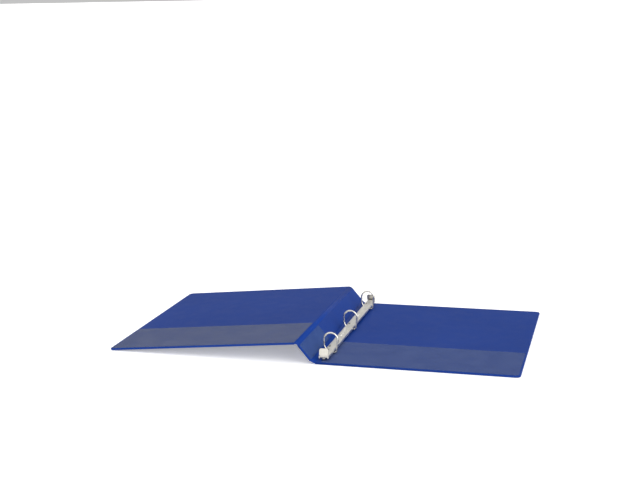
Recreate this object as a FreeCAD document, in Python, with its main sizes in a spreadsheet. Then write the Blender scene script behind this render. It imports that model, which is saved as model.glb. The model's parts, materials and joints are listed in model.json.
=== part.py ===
import FreeCAD, Part
import math
import os
import re
import Sketcher

# A three-ring binder lying open. The back cover lies flat on the table and carries the ring
# mechanism, the spine rises from its hinge, and the front cover slopes down to the table.
# +X runs to the back cover's outer edge, +Y along the spine to the binder's top edge, +Z is up.
# The origin is on the table under the middle of the open binder.

DIMENSIONS = [
    # covers
    ("cover_height", 296.0, "bottom edge to top edge of every panel"),
    ("cover_width", 262.0, "hinge axis to the outer edge of the front and back covers"),
    ("spine_width", 32.0, "back hinge axis to front hinge axis"),
    ("board_thick", 2.0, "board inside each panel"),
    ("skin_thick", 0.3, "one layer of vinyl"),
    ("rim_width", 3.0, "sealed rim outside the board"),
    ("hinge_half", 3.0, "hinge axis to the edge of each panel"),
    ("hinge_seal", 1.5, "sealed strip between a panel's hinge edge and its board"),
    ("hinge_drop", 0.5, "hinge axis below the inner face"),
    ("hinge_film", 0.6, "two sealed layers of vinyl in the hinge groove"),
    ("corner_radius", 6.0, "outer corners of the covers"),
    ("rim_bevel", 1.4, "slope of the sealed rim"),
    ("spine_lean", 50.0, "spine above the table, degrees"),
    # clear films
    ("pocket_height", 94.0, "top edge of the inner pockets"),
    ("pocket_inset", 2.6, "pocket weld inside the panel's edge"),
    ("pocket_start", 10.0, "back pocket from the back hinge axis, under the plate"),
    ("overlay_inset", 5.0, "cover overlay inside the panel's edge"),
    ("clear_thick", 0.25, "clear film with its sheet space"),
    ("clear_space", 0.1, "sheet space under a clear film"),
    ("weld_width", 2.0, "weld along the closed edges of a clear film"),
    # rings
    ("ring_pitch", 108.0, "ring to ring"),
    ("wire_radius", 1.15, "ring wire"),
    ("loop_radius", 9.15, "round top of the ring, centre line"),
    ("loop_offset", 1.6, "round top's centre beyond the mechanism's middle"),
    ("loop_rise", 19.1, "round top's centre above the inner face"),
    ("leg_lean", 5.0, "right leg's lean, degrees"),
    ("leg_length", 13.6, "straight right leg"),
    ("foot_radius", 3.0, "bend under the right leg"),
    ("root_radius", 1.6, "bend up into the right rail"),
    ("root_offset", 2.4, "right wire's end beyond the middle"),
    ("root_top", 5.0, "top of the right wire's end"),
    ("left_end_offset", 2.7, "left wire's end before the middle"),
    ("left_end_rise", 3.3, "left wire's end above the inner face"),
    ("left_lean", 37.9, "left wire's lean where it leaves the rail, degrees"),
    ("left_bend", 9.7, "radius that straightens the left wire"),
    ("split_angle", 65.0, "where the halves meet on the round top, degrees"),
    ("split_gap", 0.05, "half of the gap between the halves"),
    # ring mechanism
    ("mech_offset", 12.5, "back hinge axis to the mechanism's middle"),
    ("mech_length", 280.0, "cover plate, end to end"),
    ("plate_half", 6.0, "half the cover plate's width"),
    ("plate_wall", 0.7, "cover plate's sheet"),
    ("plate_bottom", 3.2, "plate's lower edge above the inner face"),
    ("plate_shoulder", 6.1, "shoulder above the inner face"),
    ("plate_crown", 7.8, "crown above the inner face"),
    ("crown_half", 3.6, "half of the crown's flat"),
    ("lip_reach", 0.7, "lip under a rail's edge"),
    ("lip_thick", 0.6, "lip's thickness"),
    ("pivot_offset", 5.0, "rail's pivot edge from the middle"),
    ("pivot_rise", 4.4, "rail's pivot edge above the inner face"),
    ("rail_width", 4.9, "pivot to the rail's inner edge"),
    ("rail_lap", 0.15, "rail outside its pivot"),
    ("rail_thick", 0.8, "rail's sheet"),
    ("rail_tilt", 7.5, "rail below level when closed, degrees"),
    ("rail_gap", 3.7, "plate's end to the rail's end"),
    ("window_half", 1.7, "half of a ring window along the plate"),
    ("window_edge", 2.2, "ring window's inner edge from the plate's middle"),
    ("window_sill", 1.0, "ring window's sill above the plate's lower edge"),
    ("notch_half", 2.25, "half of a ring notch along the plate"),
    ("notch_height", 1.4, "ring notch above the plate's lower edge"),
    ("edge_round", 0.9, "rounding along the shoulders and the crown"),
    ("pad_half", 2.3, "half the width of a stamped pad"),
    ("pad_start", 7.0, "rivet to the near end of its stamped pad"),
    ("pad_end", 34.0, "rivet to the far end of its stamped pad"),
    ("pad_height", 0.3, "stamped pad above the crown"),
    ("rivet_pitch", 96.0, "rivet to rivet"),
    ("post_radius", 2.2, "rivet post"),
    ("neck_radius", 1.6, "rivet neck in the plate"),
    ("flare_radius", 2.7, "clinched end on the crown"),
    ("bore_radius", 1.1, "rivet bore"),
    ("head_radius", 4.5, "rivet head in the back cover"),
    ("head_thick", 0.8, "rivet head"),
    ("flare_height", 0.6, "clinched end above the crown"),
    ("flare_bevel", 0.5, "slope of the clinched end"),
    ("bore_depth", 5.0, "bore below the crown"),
    ("post_room", 0.45, "rail clear of a rivet post"),
    ("slot_half", 1.2, "half the width of a long hole in the crown"),
    ("slot_reach", 3.0, "half the length of a long hole"),
    ("slot_cut", 0.6, "cut corners of a long hole"),
    ("slot_left", 2.0, "long hole's centre left of the plate's middle"),
    ("slot_beyond", 8.0, "ring to the long hole above it"),
    ("slot_before", 7.0, "bottom ring to the long hole below it"),
    # triggers
    ("end_gap", 4.6, "crown cut back at each end"),
    ("pin_inset", 2.0, "plate's end to the trigger pin"),
    ("pin_rise", 4.9, "trigger pin above the inner face"),
    ("pin_radius", 0.8, "trigger pin"),
    ("pin_clearance", 0.05, "running clearance round the pin"),
    ("pin_head", 1.3, "pin head radius"),
    ("pin_end", 0.5, "pin head outside the plate"),
    ("hub_radius", 1.4, "trigger's rolled hub"),
    ("hub_half", 5.1, "half the hub's width"),
    ("lever_half", 6.0, "half the lever's width above the ears"),
    ("lever_thick", 1.2, "lever plate"),
    ("lever_top", 10.8, "lever's top above the pin"),
    ("lever_kick", 2.0, "lever's top leans in over the crown"),
    ("lever_bend", 5.4, "lever bends this far above the pin"),
    ("lever_swell", 0.5, "lever's lean at the bend"),
    ("lever_waist", 2.4, "lever widens this far above the pin"),
    ("lever_foot", 3.0, "lever starts to lean in this far above the pin"),
    ("lever_round", 2.4, "lever's upper corners"),
    ("tongue_half", 1.5, "half the tongue's width"),
    ("tongue_reach", 2.9, "tongue beyond the pin"),
    ("tongue_drop", 1.7, "tongue's top below the pin"),
    ("tongue_thick", 0.8, "tongue plate"),
    ("tongue_root", 1.0, "tongue's neck before the pin"),
    ("tongue_neck", 0.4, "tongue's neck beyond the pin"),
]

doc = FreeCAD.newDocument("ring_binder")
sheet = doc.addObject("Spreadsheet::Sheet", "sizes")
for line, (alias, number, note) in enumerate(DIMENSIONS, start=1):
    sheet.set("A%d" % line, alias)
    sheet.set("B%d" % line, str(number))
    sheet.set("C%d" % line, note)
    sheet.setAlias("B%d" % line, alias)
doc.recompute()

ALIASES = {alias for alias, number, note in DIMENSIONS}
WORD = re.compile(r"[a-z]+(?:_[a-z]+)*")

INNER = "hinge_drop"
OUTER = "(hinge_drop - board_thick - 2 * skin_thick)"
FRONT_SLOPE = "(asin(spine_width * sin(spine_lean) / cover_width) / 1 deg)"
MIDDLE = "(cover_height / 2)"
PLATE_START = "(cover_height / 2 - mech_length / 2)"
PLATE_INSIDE = "(plate_half - plate_wall)"
RING_NAMES = [("bottom", -1), ("middle", 0), ("top", 1)]


def bound(text):
    """An expression with each alias pointed at the spreadsheet."""
    return WORD.sub(lambda m: "sizes." + m.group() if m.group() in ALIASES else m.group(), str(text))


def size(text):
    """The present value of an expression, in mm or degrees."""
    found = sheet.evalExpression(bound(text))
    return float(getattr(found, "Value", found))


# Frames: each sub-part is drawn in the frame of the panel or mechanism it belongs to.

Y_AXIS = FreeCAD.Vector(0, 1, 0)
Z_AXIS = FreeCAD.Vector(0, 0, 1)


def frame(x, y, z, turn=0.0, axis=Y_AXIS):
    return FreeCAD.Placement(FreeCAD.Vector(x, y, z), FreeCAD.Rotation(axis, turn))


SLOPE = size(FRONT_SLOPE)
LEAN = math.radians(size("spine_lean"))
AXIS_RISE = size("-1 * %s" % OUTER)
SPINE_RUN = size("spine_width") * math.cos(LEAN)
SPINE_CLIMB = size("spine_width") * math.sin(LEAN)
FRONT_RUN = (size("cover_width") * math.cos(math.radians(SLOPE))
             + size(INNER) * math.sin(math.radians(SLOPE)))
HINGE_X = (SPINE_RUN + FRONT_RUN - size("cover_width")) / 2
EDGE_Y = -size("cover_height") / 2

BACK = frame(HINGE_X, EDGE_Y, AXIS_RISE)
SPINE = frame(HINGE_X, EDGE_Y, AXIS_RISE, size("spine_lean"))
FRONT = frame(HINGE_X - SPINE_RUN, EDGE_Y, AXIS_RISE + SPINE_CLIMB, -SLOPE)
SPINE_END = frame(HINGE_X - SPINE_RUN, EDGE_Y, AXIS_RISE + SPINE_CLIMB, size("spine_lean"))
MECHANISM = frame(HINGE_X + size("mech_offset"), EDGE_Y, AXIS_RISE + size(INNER))

nodes = []


def keep(thing, label, home=None):
    thing.Label = label
    if home is not None:
        thing.Placement = home
    nodes.append(thing)
    return thing


# Sketch and feature helpers. Every length is an expression of the spreadsheet's cells.

def sketch_in(body, plane, lift="0"):
    sketch = body.newObject("Sketcher::SketchObject", body.Name + "_sketch")
    origin_plane = [f for f in body.Origin.OriginFeatures if f.Role == plane][0]
    sketch.AttachmentSupport = [(origin_plane, "")]
    sketch.MapMode = "FlatFace"
    sketch.setExpression("AttachmentOffset.Base.z", bound(lift))
    return sketch


def fix_point(sketch, line, end, x, y):
    for kind, text in (("DistanceX", x), ("DistanceY", y)):
        index = sketch.addConstraint(Sketcher.Constraint(kind, -1, 1, line, end, size(text)))
        sketch.setExpression("Constraints[%d]" % index, bound(text))


def polygon(sketch, corners):
    points = [FreeCAD.Vector(size(x), size(y), 0) for x, y in corners]
    lines = []
    for start, finish in zip(points, points[1:] + points[:1]):
        lines.append(sketch.addGeometry(Part.LineSegment(start, finish), False))
    for line, following in zip(lines, lines[1:] + lines[:1]):
        sketch.addConstraint(Sketcher.Constraint("Coincident", line, 2, following, 1))
    for line, (x, y) in zip(lines, corners):
        fix_point(sketch, line, 1, x, y)


def rectangle(sketch, x_from, x_to, y_from, y_to):
    polygon(sketch, [(x_from, y_from), (x_to, y_from), (x_to, y_to), (x_from, y_to)])


def disc(sketch, x, y, radius):
    centre = FreeCAD.Vector(size(x), size(y), 0)
    shape = sketch.addGeometry(Part.Circle(centre, FreeCAD.Vector(0, 0, 1), size(radius)), False)
    index = sketch.addConstraint(Sketcher.Constraint("Radius", shape, size(radius)))
    sketch.setExpression("Constraints[%d]" % index, bound(radius))
    fix_point(sketch, shape, 3, x, y)


def new_body(name):
    return doc.addObject("PartDesign::Body", name)


def feature(body, kind, sketch, length, reverse=False, midplane=False):
    """A Pad or a Pocket, checked to have added or removed material."""
    doc.recompute()
    before = body.Shape.Volume if body.Tip else 0.0
    made = body.newObject("PartDesign::" + kind, body.Name + "_" + kind.lower())
    made.Profile = sketch
    made.Reversed = reverse
    made.Midplane = midplane
    made.setExpression("Length", bound(length))
    doc.recompute()
    change = body.Shape.Volume - before
    if change * (1 if kind == "Pad" else -1) <= 0:
        raise RuntimeError("%s of %s changed nothing" % (kind, body.Name))
    return made


def edges_where(shape, test):
    return ["Edge%d" % n for n, edge in enumerate(shape.Edges, start=1) if test(edge)]


def dress(body, kind, prop, amount, test):
    """A Fillet or a Chamfer on the edges that the test picks."""
    base = body.Tip
    names = edges_where(base.Shape, test)
    if not names:
        raise RuntimeError("no edges for %s of %s" % (kind, body.Name))
    made = body.newObject("PartDesign::" + kind, body.Name + "_" + kind.lower())
    made.Base = (base, names)
    made.setExpression(prop, bound(amount))
    doc.recompute()
    return made


def ends_of(edge):
    return edge.Vertexes[0].Point, edge.Vertexes[-1].Point


def runs_along(edge, axis):
    """True for an edge along 0 = X, 1 = Y or 2 = Z."""
    start, finish = ends_of(edge)
    return all(abs(start[k] - finish[k]) < 0.001 for k in range(3) if k != axis) and (
        abs(start[axis] - finish[axis]) > 0.001)


def near(first, second):
    return abs(first - second) < 0.001


# Covers and spine. In a panel's frame the hinge axis is the Y axis and +Z faces inside.

def panel_span(side, inset_hinge, inset_outer, reach):
    """Where a panel starts and ends: to +X on the back cover, to -X on the other panels."""
    span = ["hinge_half + %s" % inset_hinge, "%s - %s" % (reach, inset_outer)]
    return span if side > 0 else ["-1 * (%s)" % end for end in reversed(span)]


def round_corners(body, side, amount="corner_radius"):
    """Rounds the two corners of a cover that are away from the hinge."""
    edge_x = side * max(abs(vertex.X) for vertex in body.Tip.Shape.Vertexes)
    dress(body, "Fillet", "Radius", amount,
          lambda edge: runs_along(edge, 2) and near(ends_of(edge)[0].x, edge_x))


def rivet_centres():
    return ["%s %s rivet_pitch / 2" % (MIDDLE, sign) for sign in "-+"]


def rivet_discs(body, radius, lift, depth):
    """Rivet holes through a part of the back cover, cut upwards from a height."""
    sketch = sketch_in(body, "XY_Plane", lift)
    for centre in rivet_centres():
        disc(sketch, "mech_offset", centre, radius)
    feature(body, "Pocket", sketch, depth, reverse=True)


def board(label, home, side, reach, outer, riveted=False):
    body = new_body(label)
    sketch = sketch_in(body, "XY_Plane", OUTER + " + skin_thick")
    x_from, x_to = panel_span(side, "hinge_seal", outer, reach)
    rectangle(sketch, x_from, x_to, "rim_width", "cover_height - rim_width")
    feature(body, "Pad", sketch, "board_thick")
    if riveted:
        rivet_discs(body, "post_radius", OUTER, "3 * board_thick")
        rivet_discs(body, "head_radius", OUTER, "head_thick")
    return keep(body, label, home)


def outer_skin(label, home, side, reach, outer, rounded=True, riveted=False):
    body = new_body(label)
    sketch = sketch_in(body, "XY_Plane", OUTER)
    x_from, x_to = panel_span(side, "0", outer, reach)
    rectangle(sketch, x_from, x_to, "0", "cover_height")
    feature(body, "Pad", sketch, "skin_thick")
    if rounded:
        round_corners(body, side)
    if riveted:
        rivet_discs(body, "head_radius", OUTER + " - skin_thick", "3 * skin_thick")
    return keep(body, label, home)


def inner_liner(label, home, side, reach, outer, board_outer, rounded=True, riveted=False):
    """The inner vinyl: a tray over the board, with a sloped rim sealed to the outer skin."""
    body = new_body(label)
    base = OUTER + " + skin_thick"
    sketch = sketch_in(body, "XY_Plane", base)
    x_from, x_to = panel_span(side, "0", outer, reach)
    rectangle(sketch, x_from, x_to, "0", "cover_height")
    feature(body, "Pad", sketch, "board_thick + skin_thick")
    if rounded:
        round_corners(body, side)
    top = size(INNER)
    dress(body, "Chamfer", "Size", "rim_bevel",
          lambda edge: all(near(point.z, top) for point in ends_of(edge)))
    recess = sketch_in(body, "XY_Plane", base)
    b_from, b_to = panel_span(side, "hinge_seal", board_outer, reach)
    rectangle(recess, b_from, b_to, "rim_width", "cover_height - rim_width")
    feature(body, "Pocket", recess, "board_thick", reverse=True)
    if riveted:
        rivet_discs(body, "post_radius", base, "3 * board_thick")
    return keep(body, label, home)


def clear_film(label, home, x_range, y_range, face, inside=True):
    """A clear sheet pocket, welded along three edges and open at its top edge."""
    body = new_body(label)
    sketch = sketch_in(body, "XY_Plane", face)
    rectangle(sketch, *x_range, *y_range)
    feature(body, "Pad", sketch, "clear_thick", reverse=not inside)
    space = sketch_in(body, "XY_Plane", face)
    rectangle(space, x_range[0] + " + weld_width", x_range[1] + " - weld_width",
              y_range[0] + " + weld_width", y_range[1] + " + weld_width")
    feature(body, "Pocket", space, "clear_space", reverse=inside)
    return keep(body, label, home)


def hinge_strip(label, home, lean):
    """Sealed vinyl across a hinge groove, folded at the hinge axis by the lean angle."""
    half = "hinge_film / 2"
    fold = "hinge_film / 2 * tan((%s) / 2)" % lean
    far_x = "-1 * hinge_half * cos(%s)" % lean
    far_z = "hinge_half * sin(%s)" % lean
    body = new_body(label)
    sketch = sketch_in(body, "XZ_Plane")
    polygon(sketch, [
        ("hinge_half", "-1 * " + half),
        ("hinge_half", half),
        (fold, half),
        ("%s + %s * sin(%s)" % (far_x, half, lean), "%s + %s * cos(%s)" % (far_z, half, lean)),
        ("%s - %s * sin(%s)" % (far_x, half, lean), "%s - %s * cos(%s)" % (far_z, half, lean)),
        ("-1 * " + fold, "-1 * " + half),
    ])
    feature(body, "Pad", sketch, "cover_height", reverse=True)
    return keep(body, label, home)


board("back_board", BACK, 1, "cover_width", "rim_width", riveted=True)
outer_skin("back_outer_skin", BACK, 1, "cover_width", "0", riveted=True)
inner_liner("back_inner_liner", BACK, 1, "cover_width", "0", "rim_width", riveted=True)
clear_film("back_pocket", BACK, ("pocket_start", "cover_width - pocket_inset"),
           ("pocket_inset", "pocket_height"), INNER)
hinge_strip("back_hinge_film", BACK, "spine_lean")

board("spine_board", SPINE, -1, "spine_width", "hinge_half - hinge_seal")
outer_skin("spine_outer_skin", SPINE, -1, "spine_width", "hinge_half", rounded=False)
inner_liner("spine_inner_liner", SPINE, -1, "spine_width", "hinge_half",
            "hinge_half - hinge_seal", rounded=False)
clear_film("spine_pocket", SPINE,
           ("hinge_half + rim_bevel - spine_width", "-1 * (hinge_half + rim_bevel)"),
           ("pocket_inset", "pocket_height"), INNER)
clear_film("spine_overlay", SPINE,
           ("hinge_half + hinge_seal - spine_width", "-1 * (hinge_half + hinge_seal)"),
           ("pocket_inset", "cover_height - overlay_inset"), OUTER, inside=False)
hinge_strip("front_hinge_film", SPINE_END, "-1 * (spine_lean + %s)" % FRONT_SLOPE)

board("front_board", FRONT, -1, "cover_width", "rim_width")
outer_skin("front_outer_skin", FRONT, -1, "cover_width", "0")
inner_liner("front_inner_liner", FRONT, -1, "cover_width", "0", "rim_width")
clear_film("front_pocket", FRONT,
           ("pocket_inset - cover_width", "-1 * (hinge_half + rim_bevel)"),
           ("pocket_inset", "pocket_height"), INNER)
clear_film("front_overlay", FRONT,
           ("overlay_inset - cover_width", "-1 * (hinge_half + overlay_inset)"),
           ("pocket_inset", "cover_height - overlay_inset"), OUTER, inside=False)


# Ring halves. In the mechanism's frame Y runs along the plate, and Z is above the inner face.

def flat(x, z):
    return FreeCAD.Vector(x, 0, z)


def turned(centre, radius, degrees):
    angle = math.radians(degrees)
    return flat(centre.x + radius * math.cos(angle), centre.z + radius * math.sin(angle))


def arc(centre, radius, start, finish):
    points = [turned(centre, radius, angle) for angle in (start, (start + finish) / 2, finish)]
    return Part.Arc(*points).toShape()


def line(start, finish):
    return Part.LineSegment(start, finish).toShape()


LOOP = flat(size("loop_offset"), size("loop_rise"))
LOOP_RADIUS = size("loop_radius")
GAP_ANGLE = math.degrees(size("split_gap") / LOOP_RADIUS)


def left_path():
    """From the left rail up through the plate's shoulder and over the top to the split."""
    lean = size("left_lean")
    bend = size("left_bend")
    edge_x = LOOP.x - LOOP_RADIUS
    start = flat(-size("left_end_offset"), size("left_end_rise"))
    bend_x = edge_x + bend * (1 - math.cos(math.radians(lean)))
    bend_z = start.z + (start.x - bend_x) / math.tan(math.radians(lean))
    bend_end = flat(edge_x, bend_z + bend * math.sin(math.radians(lean)))
    bend_centre = flat(edge_x + bend, bend_end.z)
    loop_start = flat(edge_x, LOOP.z)
    return [
        line(start, flat(bend_x, bend_z)),
        arc(bend_centre, bend, 180 + lean, 180),
        line(bend_end, loop_start),
        arc(LOOP, LOOP_RADIUS, 180, size("split_angle") + GAP_ANGLE),
    ]


def right_path():
    """From the split down the straight leg, round the foot and up into the right rail."""
    lean = size("leg_lean")
    root = size("root_radius")
    root_x = size("root_offset")
    leg_top = turned(LOOP, LOOP_RADIUS, -lean)
    foot_centre = turned(LOOP, LOOP_RADIUS - size("foot_radius"), -lean)
    drop = size("leg_length")
    shift = flat(-drop * math.sin(math.radians(lean)), -drop * math.cos(math.radians(lean)))
    foot_centre = foot_centre + shift
    foot_end = turned(foot_centre, size("foot_radius"), -90)
    root_centre = flat(root_x + root, foot_end.z + root)
    return [
        arc(LOOP, LOOP_RADIUS, size("split_angle") - GAP_ANGLE, -lean),
        line(leg_top, leg_top + shift),
        arc(foot_centre, size("foot_radius"), -lean, -90),
        line(foot_end, turned(root_centre, root, -90)),
        arc(root_centre, root, -90, -180),
        line(turned(root_centre, root, -180), flat(root_x, size("root_top"))),
    ]


def ring_half(side, place, step, edges):
    """A ring half: a round wire swept along its path."""
    label = "%s_ring_%s" % (side, place)
    path = doc.addObject("Part::Feature", label + "_path")
    path.Shape = Part.Wire(edges)
    first = edges[0]
    start = first.valueAt(first.FirstParameter)
    heading = first.tangentAt(first.FirstParameter)
    profile = doc.addObject("Part::Circle", label + "_section")
    profile.setExpression("Radius", bound("wire_radius"))
    profile.Placement = FreeCAD.Placement(start, FreeCAD.Rotation(Z_AXIS, heading))
    ring = doc.addObject("Part::Sweep", label)
    ring.Sections = [profile]
    ring.Spine = (path, ["Edge%d" % (n + 1) for n in range(len(edges))])
    ring.Solid = True
    ring.Frenet = True
    offset = FreeCAD.Vector(0, size(MIDDLE) + step * size("ring_pitch"), 0)
    return keep(ring, label, MECHANISM * FreeCAD.Placement(offset, FreeCAD.Rotation()))


# Rails: two strips under the plate, each turning on its outer edge.

def rail(side, rings):
    """A rail strip with rivet clearances and a hole for each ring end."""
    inward = 1 if side == "left" else -1
    sign = "1" if side == "left" else "-1"
    body = new_body(side + "_rail_strip")
    sketch = sketch_in(body, "XY_Plane")
    start = PLATE_START + " + rail_gap"
    finish = "cover_height - (%s)" % start
    rectangle(sketch, "-1 * rail_lap * " + sign, "rail_width * " + sign, start, finish)
    feature(body, "Pad", sketch, "rail_thick", midplane=True)
    clearance = sketch_in(body, "XY_Plane")
    room = "(post_radius + post_room)"
    for centre in rivet_centres():
        rectangle(clearance, "(rail_width - %s) * %s" % (room, sign), "2 * rail_width * " + sign,
                  "%s - %s" % (centre, room), "%s + %s" % (centre, room))
    feature(body, "Pocket", clearance, "2 * rail_thick", midplane=True)
    pivot = frame(-inward * size("pivot_offset"), 0, size("pivot_rise"), inward * size("rail_tilt"))
    body.Placement = MECHANISM * pivot
    ends = doc.addObject("Part::Compound", side + "_ring_ends")
    ends.Links = rings
    cut = doc.addObject("Part::Cut", side + "_rail")
    cut.Base = body
    cut.Tool = ends
    return keep(cut, side + "_rail")


for side, path in (("left", left_path), ("right", right_path)):
    halves = [ring_half(side, place, step, path()) for place, step in RING_NAMES]
    rail(side, halves)


# Cover plate of the mechanism.

def plate_section(sketch):
    inside = PLATE_INSIDE
    right = [
        ("crown_half", "plate_crown"),
        ("plate_half", "plate_shoulder"),
        ("plate_half", "plate_bottom"),
        (inside + " - lip_reach", "plate_bottom"),
        (inside + " - lip_reach", "plate_bottom + lip_thick"),
        (inside, "plate_bottom + lip_thick"),
        (inside, "plate_shoulder - 0.4 * plate_wall"),
        ("crown_half - 0.3 * plate_wall", "plate_crown - plate_wall"),
    ]
    left = [("-1 * (%s)" % x, z) for x, z in reversed(right)]
    polygon(sketch, right + left)


def ring_rows():
    return ["%s + (%d) * ring_pitch" % (MIDDLE, step) for place, step in RING_NAMES]


def long_hole(sketch, x, y):
    """A slot along the plate, with its four corners cut."""
    corners = []
    for side, end in (("-", "-"), ("+", "-"), ("+", "+"), ("-", "+")):
        wide = "%s %s slot_half" % (x, side)
        far = "%s %s slot_reach" % (y, end)
        narrow = "%s %s (slot_half - slot_cut)" % (x, side)
        near_end = "%s %s (slot_reach - slot_cut)" % (y, end)
        pair = [(wide, near_end), (narrow, far)]
        corners += pair if side == end else reversed(pair)
    polygon(sketch, corners)


def cover_plate():
    body = new_body("ring_shield")
    section = sketch_in(body, "XZ_Plane", "-1 * " + PLATE_START)
    plate_section(section)
    feature(body, "Pad", section, "mech_length", reverse=True)
    shoulder = size("plate_shoulder")
    crown = size("plate_crown")
    dress(body, "Fillet", "Radius", "edge_round",
          lambda edge: runs_along(edge, 1) and (
              near(ends_of(edge)[0].z, shoulder) or near(ends_of(edge)[0].z, crown)))
    pads = sketch_in(body, "XY_Plane", "plate_crown - plate_wall / 2")
    for centre in rivet_centres():
        rectangle(pads, "-1 * pad_half", "pad_half", centre + " + pad_start", centre + " + pad_end")
    feature(body, "Pad", pads, "plate_wall / 2 + pad_height")
    windows = sketch_in(body, "XY_Plane", "plate_bottom + window_sill")
    for row in ring_rows():
        rectangle(windows, "-1 * (plate_half + plate_wall)", "-1 * window_edge",
                  row + " - window_half", row + " + window_half")
    feature(body, "Pocket", windows, "2 * plate_crown", reverse=True)
    notches = sketch_in(body, "XY_Plane", "plate_bottom - plate_wall")
    for row in ring_rows():
        rectangle(notches, PLATE_INSIDE + " - 1.5 * lip_reach", "plate_half + plate_wall",
                  row + " - notch_half", row + " + notch_half")
    feature(body, "Pocket", notches, "plate_wall + notch_height", reverse=True)
    ends = sketch_in(body, "XY_Plane")
    for start, finish in ((PLATE_START + " - end_gap", PLATE_START + " + end_gap"),
                          ("cover_height - %s - end_gap" % PLATE_START,
                           "cover_height - %s + end_gap" % PLATE_START)):
        rectangle(ends, "-1 * " + PLATE_INSIDE, PLATE_INSIDE, start, finish)
    feature(body, "Pocket", ends, "2 * plate_crown", reverse=True)
    holes = sketch_in(body, "XY_Plane")
    for row in ring_rows():
        long_hole(holes, "-1 * slot_left", row + " + slot_beyond")
    long_hole(holes, "-0.25 * slot_left", ring_rows()[0] + " - slot_before")
    for centre in rivet_centres():
        disc(holes, "0", centre, "neck_radius")
    feature(body, "Pocket", holes, "2 * plate_crown", reverse=True)
    pins = sketch_in(body, "YZ_Plane")
    for centre in (PLATE_START + " + pin_inset", "cover_height - %s - pin_inset" % PLATE_START):
        disc(pins, centre, "pin_rise", "pin_radius")
    feature(body, "Pocket", pins, "4 * plate_half", midplane=True)
    return keep(body, "ring_shield", MECHANISM)


cover_plate()


# Rivets: flat heads in the back cover, posts that hold the plate up, tubular clinched ends.

def rivet(number, centre):
    body = new_body("rivet_%d" % number)
    sketch = sketch_in(body, "XZ_Plane")
    base = "-1 * (board_thick + 2 * skin_thick)"
    polygon(sketch, [
        ("0", base),
        ("head_radius", base),
        ("head_radius", base + " + head_thick"),
        ("post_radius", base + " + head_thick"),
        ("post_radius", "plate_crown - plate_wall"),
        ("neck_radius", "plate_crown - plate_wall"),
        ("neck_radius", "plate_crown"),
        ("flare_radius", "plate_crown"),
        ("flare_radius - flare_bevel", "plate_crown + flare_height"),
        ("bore_radius", "plate_crown + flare_height"),
        ("bore_radius", "plate_crown - bore_depth"),
        ("0", "plate_crown - bore_depth"),
    ])
    doc.recompute()
    turn = body.newObject("PartDesign::Revolution", body.Name + "_turn")
    turn.Profile = sketch
    turn.ReferenceAxis = (sketch, ["V_Axis"])
    turn.Angle = 360
    body.Placement = MECHANISM * frame(0, size(centre), 0)
    return body


rivets = doc.addObject("Part::Compound", "mounting_rivets")
rivets.Links = [rivet(number, centre) for number, centre in enumerate(rivet_centres(), start=1)]
keep(rivets, "mounting_rivets")


# Triggers: a lever with a rolled hub on a pin, and a tongue under the rails' ends.

def trigger_home(end):
    """The pin's axis at the bottom end, or turned about at the top end."""
    inset = size(PLATE_START + " + pin_inset")
    along = inset if end == "bottom" else size("cover_height") - inset
    turn = 0 if end == "bottom" else 180
    return MECHANISM * frame(0, along, size("pin_rise"), turn, Z_AXIS)


def trigger_pin(end):
    label = end + "_trigger_pin"
    pieces = []
    for name, radius, start, length in (
            ("shaft", "pin_radius", "-1 * plate_half", "2 * plate_half"),
            ("head", "pin_head", "-1 * (plate_half + pin_end)", "pin_end"),
            ("tail", "pin_head", "plate_half", "pin_end")):
        piece = doc.addObject("Part::Cylinder", "%s_%s" % (label, name))
        piece.setExpression("Radius", bound(radius))
        piece.setExpression("Height", bound(length))
        piece.Placement = frame(size(start), 0, 0, 90)
        pieces.append(piece)
    pin = doc.addObject("Part::MultiFuse", label)
    pin.Shapes = pieces
    return keep(pin, label, trigger_home(end))


def lever_profile(low):
    """The lever seen from its side: upright by the hub, then leaning in by two steps."""
    outer = "-1 * hub_radius"
    inner = outer + " + lever_thick"
    return [
        (outer, low),
        (inner, low),
        (inner, "lever_foot"),
        (inner + " + lever_swell", "lever_bend"),
        (inner + " + lever_kick", "lever_top"),
        (outer + " + lever_kick", "lever_top"),
        (outer + " + lever_swell", "lever_bend"),
        (outer, "lever_foot"),
    ]


def trigger(end):
    """The lever stands at -Y of the pin's axis and the tongue points to +Y, under the rails."""
    label = end + "_trigger"
    body = new_body(label)
    lever = sketch_in(body, "YZ_Plane")
    polygon(lever, lever_profile("0"))
    feature(body, "Pad", lever, "2 * hub_half", midplane=True)
    hub = sketch_in(body, "YZ_Plane")
    disc(hub, "0", "0", "hub_radius")
    feature(body, "Pad", hub, "2 * hub_half", midplane=True)
    wings = sketch_in(body, "YZ_Plane")
    polygon(wings, lever_profile("lever_waist"))
    feature(body, "Pad", wings, "2 * lever_half", midplane=True)
    tongue = sketch_in(body, "YZ_Plane")
    polygon(tongue, [
        ("-1 * tongue_root", "0"),
        ("-1 * tongue_root", "-1 * (tongue_drop + tongue_thick)"),
        ("tongue_reach", "-1 * (tongue_drop + tongue_thick)"),
        ("tongue_reach", "-1 * tongue_drop"),
        ("tongue_neck", "-1 * tongue_drop"),
        ("tongue_neck", "0"),
    ])
    feature(body, "Pad", tongue, "2 * tongue_half", midplane=True)
    bore = sketch_in(body, "YZ_Plane")
    disc(bore, "0", "0", "pin_radius + pin_clearance")
    feature(body, "Pocket", bore, "4 * lever_half", midplane=True)
    top = size("lever_top")
    half = size("lever_half")
    dress(body, "Fillet", "Radius", "lever_round",
          lambda edge: runs_along(edge, 1) and near(abs(ends_of(edge)[0].x), half)
          and near(ends_of(edge)[0].z, top))
    return keep(body, label, trigger_home(end))


for end in ("bottom", "top"):
    trigger_pin(end)
    trigger(end)


# Check every object, then write one file for each sub-part.

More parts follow.
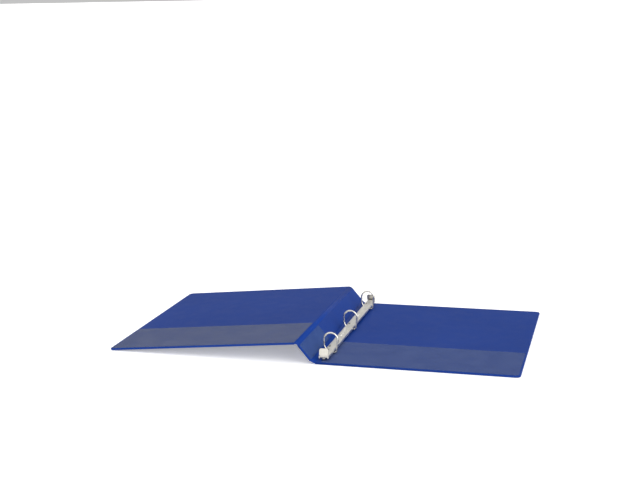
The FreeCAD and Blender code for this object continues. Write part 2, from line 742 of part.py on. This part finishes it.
doc.recompute()
for thing in doc.Objects:
    if "Invalid" in thing.State or "Error" in thing.State:
        raise RuntimeError("%s failed: %s" % (thing.Label, thing.State))
for node in nodes:
    if node.Shape.isNull() or not node.Shape.isValid():
        raise RuntimeError("%s has a bad shape" % node.Label)
os.makedirs("parts", exist_ok=True)
for node in nodes:
    node.Shape.exportStep("parts/%s.step" % node.Label)
    print("%-20s %2d solid(s) %10.1f mm3" % (node.Label, len(node.Shape.Solids), node.Shape.Volume))
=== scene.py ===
import json
import math

import bmesh
import bpy
from mathutils import Matrix, Vector


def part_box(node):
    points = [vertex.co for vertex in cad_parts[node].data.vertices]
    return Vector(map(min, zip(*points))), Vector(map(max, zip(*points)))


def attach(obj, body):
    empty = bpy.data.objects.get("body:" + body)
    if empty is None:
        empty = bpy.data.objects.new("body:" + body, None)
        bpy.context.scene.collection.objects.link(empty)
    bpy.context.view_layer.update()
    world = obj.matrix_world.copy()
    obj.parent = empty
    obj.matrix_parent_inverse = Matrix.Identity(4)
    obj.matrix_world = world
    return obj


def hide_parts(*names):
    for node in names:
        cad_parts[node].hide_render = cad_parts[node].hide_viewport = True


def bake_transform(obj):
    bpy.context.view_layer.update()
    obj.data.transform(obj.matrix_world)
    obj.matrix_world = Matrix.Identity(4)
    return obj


# An open three-ring binder: heat-sealed blue vinyl over board, clear film pockets and covers,
# and a nickel-plated ring mechanism on the back cover.

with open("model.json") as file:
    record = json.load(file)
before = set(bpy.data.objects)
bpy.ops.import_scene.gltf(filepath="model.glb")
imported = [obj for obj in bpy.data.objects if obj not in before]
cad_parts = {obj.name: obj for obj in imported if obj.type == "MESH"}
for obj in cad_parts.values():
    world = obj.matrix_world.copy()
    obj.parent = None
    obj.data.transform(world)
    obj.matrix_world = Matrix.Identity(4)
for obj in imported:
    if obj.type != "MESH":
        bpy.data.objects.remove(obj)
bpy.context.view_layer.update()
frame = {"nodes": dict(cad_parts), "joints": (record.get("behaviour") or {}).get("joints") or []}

MM = 0.001
NODES = frame["nodes"]
JOINTS = {joint["name"]: joint for joint in frame["joints"]}


# --- Where things are, read from the frame ---

BACK_HINGE = Vector(JOINTS["spine_hinge"]["pos_m"])
FRONT_HINGE = Vector(JOINTS["front_cover_hinge"]["pos_m"])
SPINE_RISE = FRONT_HINGE - BACK_HINGE
SPINE_WIDTH = SPINE_RISE.length
SPINE_LEAN = math.atan2(SPINE_RISE.z, -SPINE_RISE.x)
SKIN_LOW, SKIN_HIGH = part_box("back_outer_skin")
LINER_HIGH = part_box("back_inner_liner")[1]
COVER_WIDTH = SKIN_HIGH[0] - BACK_HINGE.x
COVER_HEIGHT = SKIN_HIGH[1] - SKIN_LOW[1]
BOTTOM_EDGE = SKIN_LOW[1]
FRONT_SLOPE = math.asin(SPINE_RISE.z / COVER_WIDTH)
HINGE_HALF = SKIN_LOW[0] - BACK_HINGE.x
INNER_FACE = LINER_HIGH[2] - BACK_HINGE.z
OUTER_FACE = SKIN_LOW[2] - BACK_HINGE.z
POCKET_LOW, POCKET_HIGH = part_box("back_pocket")
POCKET_TOP = POCKET_HIGH[1] - BOTTOM_EDGE

# Each panel's own frame: the hinge axis is Y through the origin, and +Z faces inside.
TO_BOTTOM = Matrix.Translation((0, BOTTOM_EDGE, 0))
BACK = TO_BOTTOM @ Matrix.Translation(BACK_HINGE)
SPINE = BACK @ Matrix.Rotation(SPINE_LEAN, 4, "Y")
FRONT = TO_BOTTOM @ Matrix.Translation(FRONT_HINGE) @ Matrix.Rotation(-FRONT_SLOPE, 4, "Y")


# --- Finishes ---

class Strand:
    """A value or a colour on its way through a finish's nodes, with ordinary arithmetic."""

    def __init__(self, finish, socket):
        self.finish = finish
        self.socket = socket

    def maths(self, operation, first, second):
        return self.finish.node("ShaderNodeMath", {"operation": operation}, {0: first, 1: second})

    def __add__(self, other):
        return self.maths("ADD", self, other)

    __radd__ = __add__

    def __sub__(self, other):
        return self.maths("SUBTRACT", self, other)

    def __rsub__(self, other):
        return self.maths("SUBTRACT", other, self)

    def __mul__(self, other):
        return self.maths("MULTIPLY", self, other)

    __rmul__ = __mul__


class Finish:
    """A material, with its Principled shader and its object coordinates."""

    def __init__(self, name):
        self.material = bpy.data.materials.new(name)
        self.material.use_nodes = True
        self.tree = self.material.node_tree
        self.shader = self.tree.nodes["Principled BSDF"]
        self.place = self.node("ShaderNodeTexCoord", {}, {}, "Object")

    def node(self, kind, settings, sockets, out=0):
        made = self.tree.nodes.new(kind)
        for key, value in settings.items():
            setattr(made, key, value)
        for key, value in sockets.items():
            self.feed(made.inputs[key], value)
        return Strand(self, made.outputs[out])

    def feed(self, socket, value):
        if isinstance(value, Strand):
            self.tree.links.new(value.socket, socket)
        else:
            socket.default_value = value

    def set(self, **values):
        for key, value in values.items():
            self.feed(self.shader.inputs[key.replace("_", " ")], value)

    def stretched(self, x, y, z):
        return self.node("ShaderNodeMapping", {}, {"Vector": self.place, "Scale": (x, y, z)})

    def noise(self, scale, detail=2.0, rough=0.5, where=None):
        return self.node("ShaderNodeTexNoise", {}, {
            "Vector": where or self.place, "Scale": scale, "Detail": detail, "Roughness": rough})

    def cells(self, scale):
        return self.node("ShaderNodeTexVoronoi", {"feature": "SMOOTH_F1"}, {
            "Vector": self.place, "Scale": scale, "Smoothness": 0.6}, "Distance")

    def between(self, value, low, high, to_low=0.0, to_high=1.0):
        return self.node("ShaderNodeMapRange", {"interpolation_type": "SMOOTHSTEP"}, {
            "Value": value, "From Min": low, "From Max": high, "To Min": to_low, "To Max": to_high})

    def tint(self, amount, first, second):
        return self.node("ShaderNodeMix", {"data_type": "RGBA"}, {
            "Factor": amount, 6: (*first, 1), 7: (*second, 1)}, 2)

    def bump(self, height, depth, strength=1.0, under=None):
        sockets = {"Height": height, "Distance": depth, "Strength": strength}
        if under is not None:
            sockets["Normal"] = under
        return self.node("ShaderNodeBump", {}, sockets)


def vinyl(name, deep, bright, sheen_rough):
    """Calendered vinyl: fine pebbled grain, slow swells over the board, a few dull patches."""
    finish = Finish(name)
    swell = finish.noise(9.0, 2.0)
    patches = finish.noise(55.0, 4.0, 0.6)
    grain = finish.cells(1500.0)
    fine = finish.noise(4200.0, 2.0)
    tone = finish.between(swell * 0.6 + patches * 0.4, 0.2, 0.8)
    flow = finish.bump(swell, 6 * MM, 0.035)
    skin = finish.bump(grain * 0.7 + fine * 0.3, 0.10 * MM, 0.35, flow)
    rough = finish.between(patches + grain * 0.2, 0.3, 0.8, sheen_rough - 0.02, sheen_rough + 0.04)
    finish.set(Base_Color=finish.tint(tone, deep, bright), Normal=skin, Roughness=rough,
               IOR=1.48, Specular_IOR_Level=0.08)
    return finish.material


def clear_film(name, haze_and_painted_reflection, amount, rough):
    """Soft clear film, slightly cloudy, lying in gentle waves. It has no gloss of its own; its haze colour
    is partly the film's own cloudiness and partly painted reflection standing in for that gloss.
    """
    finish = Finish(name)
    waves = finish.noise(11.0, 1.0, 0.4, finish.stretched(0.6, 1.4, 1.0))
    cloud = finish.noise(45.0, 1.0, 0.5)
    # Painted reflection: the haze colour holds the light the film's gloss would reflect, as well as its
    # own cloudiness.
    finish.set(Base_Color=finish.tint(cloud, haze_and_painted_reflection, [min(1, c * 1.15) for c in haze_and_painted_reflection]),
               Alpha=finish.between(cloud, 0.3, 0.7, amount * 0.9, amount * 1.1),
               Roughness=finish.between(cloud, 0.3, 0.7, rough - 0.03, rough + 0.05),
               Normal=finish.bump(waves, 5 * MM, 0.10), IOR=1.45, Specular_IOR_Level=0.0)
    return finish.material


def nickel(name, dark, light, rough, along=(1.0, 0.04, 1.0)):
    """Nickel plate: faint rolling lines along the strip, small stains and handling dulls."""
    finish = Finish(name)
    lines = finish.noise(5200.0, 3.0, 0.6, finish.stretched(*along))
    stains = finish.noise(240.0, 4.0, 0.65)
    pits = finish.between(finish.noise(1900.0, 2.0), 0.62, 0.74)
    tone = finish.between(stains * 0.7 + lines * 0.3, 0.3, 0.7)
    finish.set(Base_Color=finish.tint(tone, dark, light), Metallic=1.0,
               Roughness=finish.between(stains + lines * 0.4, 0.4, 1.0, rough - 0.06, rough + 0.10),
               Normal=finish.bump(lines * 0.5 - pits * 0.4, 0.03 * MM, 0.25))
    return finish.material


def greyboard(name):
    """Recycled board: grey-brown, with short fibres and darker flecks."""
    finish = Finish(name)
    fibres = finish.noise(900.0, 4.0, 0.7, finish.stretched(1.0, 0.25, 1.0))
    flecks = finish.between(finish.noise(450.0, 2.0), 0.62, 0.70)
    finish.set(Base_Color=finish.tint(fibres - flecks * 0.4, (0.20, 0.18, 0.15), (0.42, 0.38, 0.33)),
               Roughness=finish.between(fibres, 0.3, 0.7, 0.85, 0.95),
               Normal=finish.bump(fibres, 0.05 * MM, 0.5))
    return finish.material


INSIDE_VINYL = vinyl("inside_vinyl", (0.004, 0.032, 0.205), (0.008, 0.040, 0.236), 0.48)
HINGE_VINYL = vinyl("hinge_vinyl", (0.004, 0.036, 0.235), (0.008, 0.044, 0.270), 0.44)
POCKET_FILM = clear_film("pocket_film", (0.105, 0.146, 0.318), 0.35, 0.36)
SPINE_POCKET_FILM = clear_film("spine_pocket_film", (0.068, 0.121, 0.322), 0.35, 0.36)
# Painted reflection: this film's haze is lighter and greyer than the back pocket film's, standing in for
# the reflected light a front cover sloping to the left catches.
FRONT_POCKET_FILM_PAINTED_REFLECTION = clear_film("front_pocket_film_painted_reflection", (0.165, 0.190, 0.292), 0.35, 0.32)
OVERLAY_FILM = clear_film("overlay_film", (0.110, 0.133, 0.255), 0.35, 0.28)
GREYBOARD = greyboard("greyboard")
PLATE_NICKEL = nickel("plate_nickel", (0.80, 0.78, 0.73), (0.90, 0.88, 0.83), 0.36)
RAIL_NICKEL = nickel("rail_nickel", (0.50, 0.49, 0.46), (0.66, 0.65, 0.61), 0.38)
WIRE_NICKEL = nickel("wire_nickel", (0.60, 0.58, 0.53), (0.80, 0.78, 0.73), 0.24, (1.0, 1.0, 1.0))
# Painted shade: the triggers wear a darker nickel than the plate, to hold back the front lamp on their
# upright faces.
TRIGGER_NICKEL_PAINTED_SHADE = nickel("trigger_nickel_painted_shade", (0.50, 0.48, 0.43), (0.66, 0.63, 0.57), 0.38)


# --- Mesh helpers ---

def finish_piece(bm, name, body, material, replaced=()):
    """Turns a bmesh into a piece of the binder; with no body, it is left unattached."""
    mesh = bpy.data.meshes.new(name)
    bm.to_mesh(mesh)
    bm.free()
    mesh.materials.append(material)
    piece = bpy.data.objects.new(name, mesh)
    bpy.context.scene.collection.objects.link(piece)
    if body is not None:
        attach(piece, body)
    if replaced:
        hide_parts(*replaced)
    return piece


def smooth(bm, largest=None):
    """Smooth shading, except on faces over a given area in square metres, which stay flat."""
    for face in bm.faces:
        face.smooth = largest is None or face.calc_area() < largest


def rectangle(bm, x_from, x_to, y_from, y_to, z):
    corners = [(x_from, y_from), (x_to, y_from), (x_to, y_to), (x_from, y_to)]
    face = bm.faces.new([bm.verts.new((x, y, z)) for x, y in corners])
    face.normal_update()
    return face


def round_corners(bm, chosen, radius, segments=8):
    if chosen:
        bmesh.ops.bevel(bm, geom=chosen, offset=radius, offset_type="OFFSET", segments=segments,
                        profile=0.5, affect="VERTICES", material=-1)


def step_in(bm, face, steps):
    """Insets a face again and again; each step goes in by a width and up by a rise."""
    for width, rise in steps:
        bmesh.ops.inset_region(bm, faces=[face], use_boundary=True, use_even_offset=True,
                               thickness=width, depth=rise)


# --- Covers and spine ---

PANEL_FLAT_AREA = 0.001
CORNER_RADIUS = 6 * MM
WELD_INSET = 2.6 * MM
RIM_EDGE = 0.05 * MM
PANEL_STEPS = [(0.03 * MM, 0.50 * MM), (0.08 * MM, 0.22 * MM), (0.16 * MM, 0.20 * MM),
               (0.26 * MM, 0.16 * MM), (0.40 * MM, 0.10 * MM), (0.90 * MM, 0.04 * MM),
               (0.22 * MM, -0.06 * MM), (0.22 * MM, 0.00 * MM), (0.22 * MM, 0.06 * MM),
               (0.60 * MM, 0.02 * MM)]


def vinyl_panel(name, body, home, span, outer_x, material, replaced):
    """Two skins wrapped and sealed round a board: a soft round edge, then a pressed weld line."""
    middle = (INNER_FACE + OUTER_FACE) / 2 + RIM_EDGE / 2
    half = (INNER_FACE - OUTER_FACE) / 2 - RIM_EDGE / 2
    bm = bmesh.new()
    face = rectangle(bm, *span, 0, COVER_HEIGHT, 0)
    if outer_x is not None:
        round_corners(bm, [v for v in bm.verts if abs(v.co.x - outer_x) < MM / 10], CORNER_RADIUS)
        face = bm.faces[:][0]
    scale = half / sum(rise for width, rise in PANEL_STEPS)
    step_in(bm, face, [(width, rise * scale) for width, rise in PANEL_STEPS])
    bmesh.ops.mirror(bm, geom=bm.verts[:] + bm.edges[:] + bm.faces[:], axis="Z", merge_dist=MM / 1000)
    bmesh.ops.recalc_face_normals(bm, faces=bm.faces[:])
    smooth(bm, PANEL_FLAT_AREA)
    bmesh.ops.transform(bm, matrix=home @ Matrix.Translation((0, 0, middle)), verts=bm.verts[:])
    return finish_piece(bm, name, body, material, replaced)


vinyl_panel("back_cover_vinyl", "back_cover", BACK, (HINGE_HALF, COVER_WIDTH), COVER_WIDTH,
            INSIDE_VINYL, ["back_outer_skin", "back_inner_liner"])
vinyl_panel("spine_vinyl", "spine", SPINE, (HINGE_HALF - SPINE_WIDTH, -HINGE_HALF), None,
            INSIDE_VINYL, ["spine_outer_skin", "spine_inner_liner"])
vinyl_panel("front_cover_vinyl", "front_cover", FRONT, (-COVER_WIDTH, -HINGE_HALF), -COVER_WIDTH,
            INSIDE_VINYL, ["front_outer_skin", "front_inner_liner"])


STRIP_LAP = 1.1 * MM
STRIP_LEVEL = -0.3 * MM
STRIP_THICK = 0.8 * MM
STRIP_STEPS = 14


def hinge_strip(name, near_home, near_side, far_home, far_side, material, replaced):
    """The sealed groove between two panels: a soft strip that bends at the hinge axis."""
    near = near_home @ Vector((near_side * (HINGE_HALF + STRIP_LAP), 0, STRIP_LEVEL))
    far = far_home @ Vector((far_side * (HINGE_HALF + STRIP_LAP), 0, STRIP_LEVEL))
    bend = near_home @ Vector((0, 0, STRIP_LEVEL * 0.6))
    bm = bmesh.new()
    last = None
    row = []
    for n in range(STRIP_STEPS + 1):
        t = n / STRIP_STEPS
        vert = bm.verts.new(near * (1 - t) ** 2 + bend * 2 * t * (1 - t) + far * t ** 2)
        if last is not None:
            row.append(bm.edges.new((last, vert)))
        last = vert
    made = bmesh.ops.extrude_edge_only(bm, edges=row)
    moved = [v for v in made["geom"] if isinstance(v, bmesh.types.BMVert)]
    bmesh.ops.translate(bm, vec=(0, COVER_HEIGHT, 0), verts=moved)
    bmesh.ops.solidify(bm, geom=bm.faces[:], thickness=STRIP_THICK)
    bmesh.ops.translate(bm, vec=(0, 0, STRIP_THICK / 2), verts=bm.verts[:])
    bmesh.ops.recalc_face_normals(bm, faces=bm.faces[:])
    smooth(bm)
    piece = finish_piece(bm, name, None, material, replaced)
    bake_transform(piece)
    return piece


SPINE_TOP = TO_BOTTOM @ Matrix.Translation(FRONT_HINGE) @ Matrix.Rotation(SPINE_LEAN, 4, "Y")
hinge_strip("back_hinge_vinyl", BACK, 1, SPINE, -1, HINGE_VINYL,
            ["back_hinge_film"])
hinge_strip("front_hinge_vinyl", SPINE_TOP, 1, FRONT, -1, HINGE_VINYL,
            ["front_hinge_film"])


# --- Clear films ---

FILM_FLAT_AREA = 0.0005
FILM_STEPS = [(0.20 * MM, 0.04 * MM), (0.9 * MM, 0.0), (0.4 * MM, 0.05 * MM), (0.5 * MM, 0.05 * MM)]
FILM_THICK = 0.03 * MM
FILM_LIFT = 0.04 * MM
FILM_CORNER = CORNER_RADIUS - WELD_INSET


def film_sheet(name, body, home, span, low, high, face, outward, rounded_x, replaced, material):
    """A clear sheet welded round its edges, raised a little inside the weld."""
    bm = bmesh.new()
    sheet = rectangle(bm, *span, low, high, 0)
    round_corners(bm, [v for v in bm.verts if abs(v.co.x - rounded_x) < MM / 10
                       and (v.co.y < low + MM or high > COVER_HEIGHT / 2)], FILM_CORNER)
    sheet = bm.faces[:][0]
    step_in(bm, sheet, FILM_STEPS)
    bmesh.ops.solidify(bm, geom=bm.faces[:], thickness=FILM_THICK)
    bmesh.ops.recalc_face_normals(bm, faces=bm.faces[:])
    smooth(bm, FILM_FLAT_AREA)
    turn = Matrix.Scale(-1, 4, (0, 0, 1)) if outward < 0 else Matrix.Identity(4)
    lift = Matrix.Translation((0, 0, face + outward * FILM_LIFT))
    bmesh.ops.transform(bm, matrix=home @ lift @ turn, verts=bm.verts[:])
    bmesh.ops.recalc_face_normals(bm, faces=bm.faces[:])
    return finish_piece(bm, name, body, material, replaced)


OVERLAY_INSET = 5 * MM
HINGE_INSET = HINGE_HALF + 1.4 * MM
OVERLAY_TOP = COVER_HEIGHT - OVERLAY_INSET
BACK_POCKET_START = POCKET_LOW[0] - BACK_HINGE.x
film_sheet("back_pocket_film", "back_cover", BACK, (BACK_POCKET_START, COVER_WIDTH - WELD_INSET),
           WELD_INSET, POCKET_TOP, INNER_FACE, 1, COVER_WIDTH - WELD_INSET, ["back_pocket"], POCKET_FILM)
film_sheet("spine_pocket_film", "spine", SPINE, (HINGE_INSET - SPINE_WIDTH, -HINGE_INSET),
           WELD_INSET, POCKET_TOP, INNER_FACE, 1, 1.0, ["spine_pocket"], SPINE_POCKET_FILM)
film_sheet("front_pocket_film_painted_reflection", "front_cover", FRONT, (WELD_INSET - COVER_WIDTH, -HINGE_INSET),
           WELD_INSET, POCKET_TOP, INNER_FACE, 1, WELD_INSET - COVER_WIDTH, ["front_pocket"],
           FRONT_POCKET_FILM_PAINTED_REFLECTION)
film_sheet("spine_overlay_film", "spine", SPINE, (HINGE_INSET - SPINE_WIDTH, -HINGE_INSET),
           WELD_INSET, OVERLAY_TOP, OUTER_FACE, -1, 1.0, ["spine_overlay"], OVERLAY_FILM)
film_sheet("front_overlay_film", "front_cover", FRONT,
           (OVERLAY_INSET - COVER_WIDTH, -HINGE_HALF - OVERLAY_INSET), WELD_INSET, OVERLAY_TOP,
           OUTER_FACE, -1, OVERLAY_INSET - COVER_WIDTH, ["front_overlay"], OVERLAY_FILM)


# --- Boards and ring mechanism: the CAD nodes, each with its own finish ---

def paint(node, material):
    for place in NODES[node].material_slots:
        place.material = material


RING_PLACES = ("bottom", "middle", "top")
FINISHES = {
    "back_board": GREYBOARD,
    "spine_board": GREYBOARD,
    "front_board": GREYBOARD,
    "ring_shield": PLATE_NICKEL,
    "mounting_rivets": PLATE_NICKEL,
    "left_rail": RAIL_NICKEL,
    "right_rail": RAIL_NICKEL,
    "bottom_trigger": TRIGGER_NICKEL_PAINTED_SHADE,
    "top_trigger": TRIGGER_NICKEL_PAINTED_SHADE,
    "bottom_trigger_pin": RAIL_NICKEL,
    "top_trigger_pin": RAIL_NICKEL,
}
FINISHES.update({"%s_ring_%s" % (side, place): WIRE_NICKEL
                 for side in ("left", "right") for place in RING_PLACES})
for node, material in FINISHES.items():
    paint(node, material)


# --- Floor, light and camera ---

FLOOR_HALF = 150.0
FLOOR_DROP = 0.02 * MM
FLOOR_GLOW = 0.33
STUDIO_GLOW = 0.55
CAMERA_YAW, CAMERA_PITCH, CAMERA_ROLL = (math.radians(angle) for angle in (-15.30, 12.06, 1.05))
CAMERA_PLACE = (0.3895, -1.4891, 0.4593)
CAMERA_LENS = 64.51
CAMERA_SENSOR = 36.0


def floor():
    """A wide pale floor that gives off a little light, so that shadows on it stay soft and light."""
    bm = bmesh.new()
    bmesh.ops.create_grid(bm, x_segments=1, y_segments=1, size=FLOOR_HALF)
    bmesh.ops.translate(bm, vec=(0, 0, -FLOOR_DROP), verts=bm.verts[:])
    mesh = bpy.data.meshes.new("floor")
    bm.to_mesh(mesh)
    bm.free()
    white = Finish("floor_white")
    white.set(Base_Color=(0.9, 0.9, 0.9, 1), Roughness=0.8, Emission_Color=(1, 1, 1, 1),
              Emission_Strength=FLOOR_GLOW)
    mesh.materials.append(white.material)
    piece = bpy.data.objects.new("floor", mesh)
    bpy.context.scene.collection.objects.link(piece)


def soft_sun(name, towards, spread, strength):
    """A very wide sun, as even as a large softbox and the same all over the floor."""
    lamp = bpy.data.lights.new(name, "SUN")
    lamp.angle = math.radians(spread)
    lamp.energy = strength
    holder = bpy.data.objects.new(name, lamp)
    holder.rotation_euler = (-Vector(towards)).to_track_quat("-Z", "Y").to_euler()
    bpy.context.scene.collection.objects.link(holder)


def studio():
    world = bpy.data.worlds.new("studio")
    world.use_nodes = True
    world.node_tree.nodes["Background"].inputs["Color"].default_value = (1, 1, 1, 1)
    world.node_tree.nodes["Background"].inputs["Strength"].default_value = STUDIO_GLOW
    bpy.context.scene.world = world
    bpy.context.scene.view_settings.view_transform = "Standard"
    soft_sun("key", (1.0, -0.35, 0.60), 60, 1.9)
    soft_sun("top", (-0.2, 0.0, 1.0), 90, 0.75)
    soft_sun("front", (-0.1, -1.0, 0.20), 60, 0.9)


def camera():
    """Stands in front of the bottom edge, to the right, looking down along the rings."""
    level = math.cos(CAMERA_PITCH)
    forward = Vector((math.sin(CAMERA_YAW) * level, math.cos(CAMERA_YAW) * level, -math.sin(CAMERA_PITCH)))
    data = bpy.data.cameras.new("camera")
    data.lens = CAMERA_LENS
    data.sensor_width = CAMERA_SENSOR
    holder = bpy.data.objects.new("camera", data)
    turn = forward.to_track_quat("-Z", "Y").to_matrix().to_4x4() @ Matrix.Rotation(-CAMERA_ROLL, 4, "Z")
    holder.matrix_world = Matrix.Translation(CAMERA_PLACE) @ turn
    bpy.context.scene.collection.objects.link(holder)
    bpy.context.scene.camera = holder


floor()
studio()
camera()
